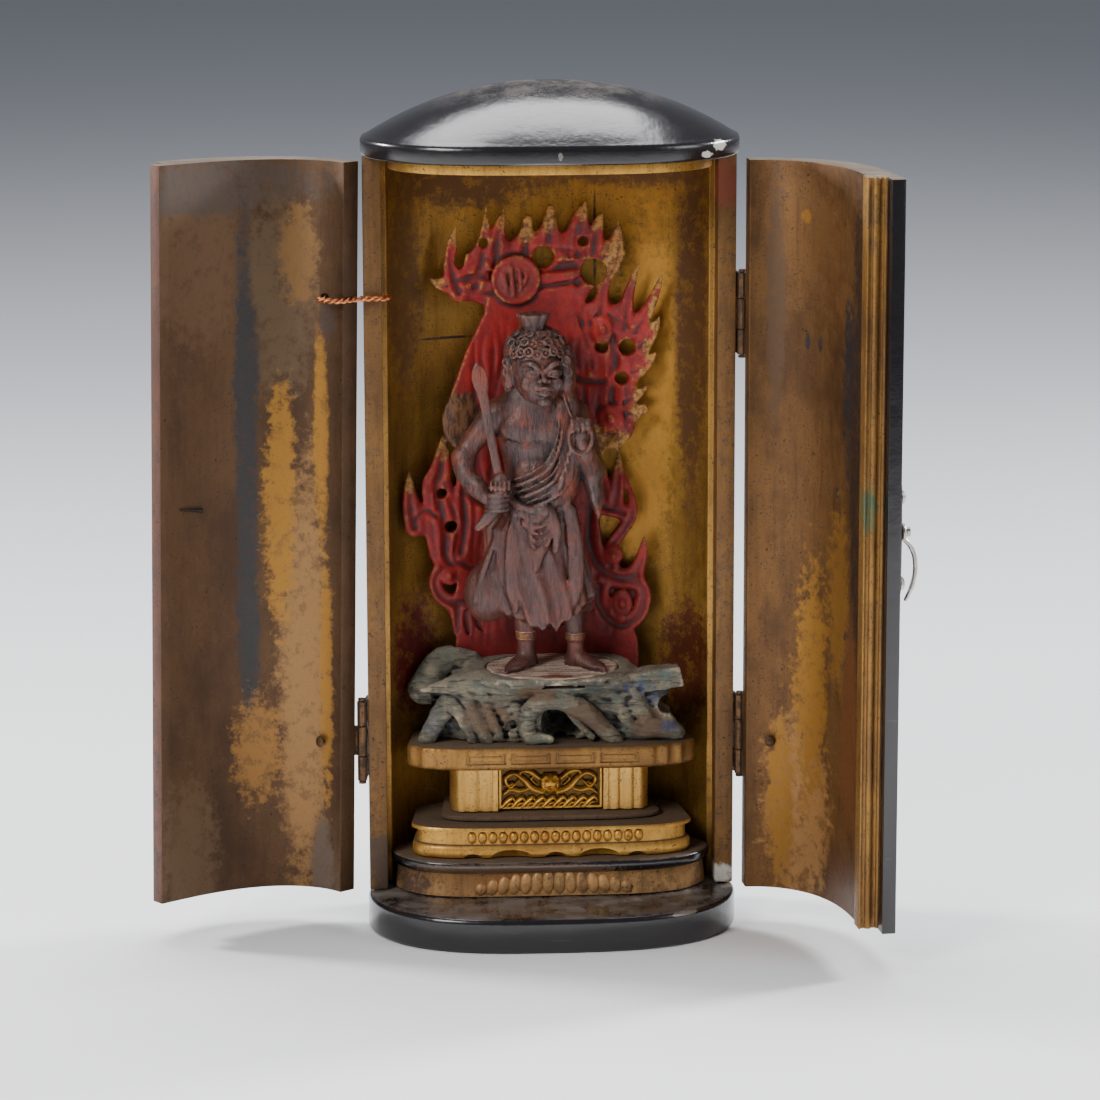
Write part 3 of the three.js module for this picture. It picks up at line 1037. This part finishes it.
// Flames. Places are [x, height, half-width] on the flat, before the screen is bowed.
const flameTop = ROCK_TOP + FLAME_HEIGHT;
const FLAME_DRAWN_TOP = 170.5;
const FLAME_FOOT = SLAB_TOP + FIT_GAP;
const onScreen = (p) => {
  const share = (flameTop - FLAME_FOOT) / (FLAME_DRAWN_TOP - FLAME_FOOT);
  return v3(p.x, p.y + screenY(p.x), FLAME_FOOT + (p.z - FLAME_FOOT) * share);
};

function bent(geometry) {
  const places = geometry.getAttribute("position");
  for (let i = 0; i < places.count; i += 1) {
    const p = onScreen(v3(places.getX(i), places.getY(i), places.getZ(i)));
    places.setXYZ(i, p.x, p.y, p.z);
  }
  return solidOf(geometry);
}

function flameLimb(stops, sides = 6, steps = 5, forward = 0, thick = FLAME_HALF_THICKNESS) {
  return limb(stops.map(([x, z, w]) => [x, -forward, z, w, Math.min(thick, w * 0.8)]), sides, steps, v3(0, 1, 0), onScreen);
}

// One tongue from its root to its tip, swelling to one side
function tongue([x0, z0, x1, z1, half, swell = 0, tip = 0.25]) {
  const [dx, dz] = [x1 - x0, z1 - z0];
  const length = Math.hypot(dx, dz);
  const middle = (share) => [x0 + dx * share - (dz / length) * swell * Math.sin(Math.PI * share), z0 + dz * share + (dx / length) * swell];
  return flameLimb([[x0, z0, half * 1.15], [...middle(0.35), half], [...middle(0.7), half * 0.62], [x1, z1, tip]], 4, 3);
}

function flameHole([x, z, halfWidth, halfHeight]) {
  const tool = new THREE.CylinderGeometry(1, 1, FLAME_HALF_THICKNESS * 6, 6);
  return bent(tool.scale(halfWidth, 1, halfHeight).translate(x, 0, z));
}

function boss(x, z, halfWidth, halfHeight, forward, depth) {
  const lump = new THREE.SphereGeometry(1, 7, 4).rotateX(Math.PI / 2);
  return bent(lump.scale(halfWidth, depth, halfHeight).translate(x, -forward, z));
}

const CROWN_TONGUES = [
  [-20.4, 149.1, -20.9, 164.8, 2, 1.6], [-23.3, 150.7, -27.3, 152.6, 1.3, 0.3], [-16.6, 150, -13.9, 168.8, 2, -0.8],
  [-11.6, 154.9, -9.5, 168.6, 2.1, 0.6], [-4.9, 156.5, -4, 165.6, 2.3, 0, 1.2], [0.6, 157, 1.4, 168.1, 2.8, 0, 1],
  [7.7, 157, 9.8, 170.4, 2.8, 0.8], [11.4, 157, 13.5, 167.7, 2.1, 0.5], [15.2, 154.6, 17.3, 165.6, 2.2, -0.4],
  [14.6, 156, 17.8, 157.6, 1.6, 0, 0.8], [7.7, 150.7, 16.7, 156, 2.5],
];
const CROWN_HOLES = [[-20.2, 156.6, 1.1, 2.3], [-14.5, 160.4, 0.9, 1.3], [-0.4, 156.6, 2.6, 1.9], [-12.4, 152.6, 0.7, 1.5],
  [8.9, 160.4, 1.1, 0.9], [11.4, 153.2, 3, 0.5]];
const RIGHT_TONGUES = [
  [12.7, 141, 16.3, 156, 1.5, 0.8], [18.6, 140, 22.3, 155.8, 1.5, 0.9], [21, 139, 27.4, 153.7, 1.5, -0.6],
  [22, 135.4, 26.7, 143, 1.7, -0.5], [20.6, 129.4, 25.9, 134.2, 1.5, -0.4], [18.6, 122.2, 24, 126.2, 1.1, -0.3],
  [18.6, 119.2, 23, 120.7, 2, 0, 1.2],
];
const RIGHT_HOLES = [[13.3, 135.4, 1.5, 0.8], [19.2, 135.4, 1.9, 2.4], [17.9, 127.9, 1.5, 1.5]];
const LOW_TONGUES = [
  [-26.2, 103, -24.5, 115.2, 2.6, -0.6], [-31.4, 94, -32.6, 107.6, 2.1, 0.5], [-21.1, 74, -21.5, 67.7, 2, 0, 1],
  [-17.9, 74, -15.3, 66.3, 1.7, 0, 0.5], [-19.3, 72, -18.6, 65.9, 1.7, 0, 0.6], [16.1, 97, 17.2, 110.7, 1.8, -0.4],
  [14.2, 97, 13.5, 110.3, 1.4, 0.3], [12.2, 99, 12.3, 111.4, 2], [20.8, 80.4, 23.3, 90.7, 1.5, -0.7],
];
const LOW_HOLES = [[-24.9, 101.3, 1.2, 1.4], [-22.7, 93.2, 1.4, 1.5]];
const TRUNK = [[0, 62, 22], [0, 66, 21.6], [-3.7, 76.2, 18.2], [-3.2, 95, 15.6], [-4.9, 111.5, 16.6], [-6, 120.9, 18], [-4.6, 134.5, 14.4],
  [-3.7, 143.9, 10.6], [-4, 150, 9]];

function flameScreen() {
  const foot = new THREE.BoxGeometry(2 * FLAME_FOOT_HALF_WIDTH, 2 * FLAME_HALF_THICKNESS, 66 - FLAME_FOOT, 8, 1, 1);
  const crown = flameLimb([[-21.6, 151.6, 2.3], [-16.2, 152.4, 6], [-8.2, 152.8, 7.6], [-0.7, 154.1, 7.2], [7.7, 154.9, 6], [14, 156.4, 3.2]], 6, 7);
  const rightBody = flameLimb([[12.4, 142.4, 3.6], [15.6, 137.6, 7.4], [16.4, 132, 6.4], [15.8, 126, 5.4], [15.6, 120, 5.4], [15.8, 116.3, 5],
    [14, 112.6, 2]], 6, 7);
  const leftBody = flameLimb([[-26.1, 104, 3], [-25.4, 99, 4], [-24, 92.2, 5], [-24, 86.4, 3.6], [-22.6, 83.4, 2.2]], 6, 5);
  const leftStrand = flameLimb([[-19.7, 105.4, 1.4], [-19.7, 99.4, 2.1], [-19.3, 94, 2.2], [-20.4, 87, 2]], 4, 3, 0.7);
  const strandLink = flameLimb([[-19.4, 101, 1.8], [-14, 98, 2.4], [-8, 97, 2.4]], 4, 2);
  const curlLink = flameLimb([[-31.6, 95.4, 1.1], [-29, 97.7, 1], [-26, 96, 1.1]], 4, 2);
  const leftCurl = flameLimb([[-15, 82, 2], [-17.9, 83, 1.8], [-21.1, 84.2, 1.6], [-25.2, 82.8, 1.7], [-26.6, 79.9, 1.7], [-25, 76.3, 1.8],
    [-21.5, 74.5, 2], [-16, 75, 2.4]], 4, 9);
  const rightColumn = flameLimb([[10.6, 103, 2.4], [10.3, 95.5, 2.4], [10.3, 88.6, 2.5], [12.7, 82.4, 2.7], [17.2, 79.7, 2.6], [21.4, 80.4, 1.9]], 4, 5);
  const rightShoulder = flameLimb([[10.4, 96.8, 2], [14, 97, 2.2], [18.4, 95.6, 1.9]], 4, 2);
  const hangingTongue = flameLimb([[18.7, 104.8, 0.3], [20.1, 100, 0.8], [20.4, 95.5, 1.3], [18.3, 91.6, 1.5], [15.6, 87.6, 1.6],
    [15.6, 84, 1.9], [14.4, 81.4, 2]], 4, 6);
  const bigCurl = flameLimb([[12.6, 77.6, 2.4], [12.8, 73.1, 2.1], [15.2, 69.4, 2], [18.2, 68.2, 2], [21.5, 70.4, 2], [23.1, 74.6, 1.9],
    [22.6, 77.8, 1.8], [20, 79.4, 2]], 4, 9);
  const curlBack = boss(18, 73.8, 5, 5, -0.5, 0.8);
  const rightLink = flameLimb([[2, 130, 3], [9, 127.4, 2.2], [14, 127, 3]], 4, 2);
  const crownLink = flameLimb([[2, 145, 5], [4, 152, 5]], 6, 1);
  const trunk = limb(TRUNK.map(([x, z, w]) => [x, 0, z, w, FLAME_HALF_THICKNESS]), 8, 9, v3(0, 1, 0), onScreen);
  const medallion = [boss(-7, 151.6, 5.9, 5.9, 1.4, 1.8)];
  const rim = new THREE.TorusGeometry(5.2, 0.55, 4, 12).rotateX(Math.PI / 2).translate(-7, -2, 151.6);
  const strokes = [[-9, 153.4, -9.4, 149.6], [-7, 153.8, -7, 149.4], [-5, 153.4, -4.6, 149.6], [-9.2, 154, -4.8, 154]].map(
    ([x0, z0, x1, z1]) => flameLimb([[x0, z0, 0.45], [x1, z1, 0.4]], 4, 1, 3.2),
  );
  const beads = [boss(13.3, 139.6, 2, 2.6, 1.3, 1.3), boss(15.2, 118.4, 2.5, 2.5, 1.2, 1.2), boss(15.8, 85.5, 1.9, 1.9, 1, 1.3),
    boss(18, 73.8, 1.9, 2.6, 1.2, 1.2), boss(-22.9, 81.4, 1.8, 1.8, 0.6, 1.2), boss(-20.3, 118.3, 4.4, 6.4, 0.9, 1.6)];
  const tongues = [...CROWN_TONGUES, ...RIGHT_TONGUES, ...LOW_TONGUES].map(tongue);
  const holes = [...CROWN_HOLES, ...RIGHT_HOLES, ...LOW_HOLES].map(flameHole);
  const plates = joined([trunk, bent(foot.translate(0, 0, (66 + FLAME_FOOT) / 2)), crown, rightBody, leftBody, leftStrand, strandLink, curlLink,
    leftCurl, rightColumn, rightShoulder, hangingTongue, bigCurl, curlBack, rightLink, crownLink, ...tongues]);
  return carved(plates, holes).add(joined([...medallion, bent(rim), ...strokes, ...beads]));
}

// Assembly. The doors are drawn closed and swung to where they stand.
const part = new THREE.Group();

function swung(name, centre, axis, degrees) {
  const group = new THREE.Group();
  group.name = name;
  group.quaternion.setFromAxisAngle(axis.clone().normalize(), radians(degrees));
  group.position.copy(centre).sub(centre.clone().applyQuaternion(group.quaternion));
  part.add(group);
  group.updateMatrixWorld(true);
  return group;
}

const rightDoor = swung("right_door_parts", v3(HINGE_X, 0, 0), v3(0, 0, 1), RIGHT_DOOR_OPEN);
const leftDoorAxis = v3(TIE_SHIFT_X, TIE_SHIFT_Y, TIE_Z - LOWER_HINGE_Z);
const leftDoor = swung("left_door_parts", v3(-HINGE_X, 0, LOWER_HINGE_Z), leftDoorAxis, -LEFT_DOOR_OPEN);

piece(part, "base_plinth", basePlinth(), BLACK_LACQUER);
piece(part, "case_shell", caseShell(), OLD_GOLD);
piece(part, "ceiling_board", ceilingBoard(), BRIGHT_GOLD);
piece(part, "roof", domedRoof(), BLACK_LACQUER);
piece(part, "lower_dais", lowerDais(), OLD_GOLD);
piece(part, "bead_tier", beadTier(), BRIGHT_GOLD);
piece(part, "pedestal_step", thinStep(), BRIGHT_GOLD);
piece(part, "pedestal_waist", waistBlock(), BRIGHT_GOLD);
piece(part, "waist_panel", waistPanel(), BRIGHT_GOLD);
piece(part, "pedestal_top", pedestalTop(), BRIGHT_GOLD);
piece(part, "rock", rock(), ROCK_PAINT);
piece(part, "guardian_figure", guardianFigure(), DARK_WOOD);
piece(part, "sword", sword(), DARK_WOOD);
piece(part, "flame_screen", flameScreen(), RED_PAINT);

for (const [name, side, z, door] of [
  ["right_upper", 1, UPPER_HINGE_Z, rightDoor],
  ["right_lower", 1, LOWER_HINGE_Z, rightDoor],
  ["left_lower", -1, LOWER_HINGE_Z, leftDoor],
]) {
  piece(part, `${name}_hinge_case_leaf`, hingeLeaf(side, z, false), BRONZE);
  piece(door, `${name}_hinge_door_leaf`, hingeLeaf(side, z, true), BRONZE);
  piece(part, `${name}_hinge_pin`, hingePin(side, z), BRONZE);
}

piece(rightDoor, "right_door", rightDoorPanel(), OLD_GOLD);
piece(rightDoor, "right_door_strip", rightDoorStrip(), OLD_GOLD);
piece(rightDoor, "right_door_rivet", hingeRivet(1), BRONZE);
piece(rightDoor, "latch_plate", latchPlate(), BRONZE);
piece(rightDoor, "latch_upper_rivet", domeRivet(LATCH_Z + UPPER_DOME), NICKEL);
piece(rightDoor, "latch_lower_rivet", domeRivet(LATCH_Z - LOWER_DOME), NICKEL);
piece(rightDoor, "hook_post", hookPost(), NICKEL);
piece(rightDoor, "hook", hook(), NICKEL);

piece(leftDoor, "left_door", leftDoorPanel(), OLD_GOLD);
piece(leftDoor, "left_door_rivet", hingeRivet(-1), BRONZE);
piece(leftDoor, "catch_plate", catchPlate(), BRONZE);
piece(leftDoor, "catch_stud", catchStud(), BRONZE);

const tieWall = doorWall(0, -HINGE_RIVET_Y);
const doorHole = [tieWall.outer, tieWall.inner].map((x) => leftDoor.localToWorld(v3(-x, -HINGE_RIVET_Y, TIE_Z)));
piece(part, "repair_wire", repairWire(doorHole), COPPER);

export default part;
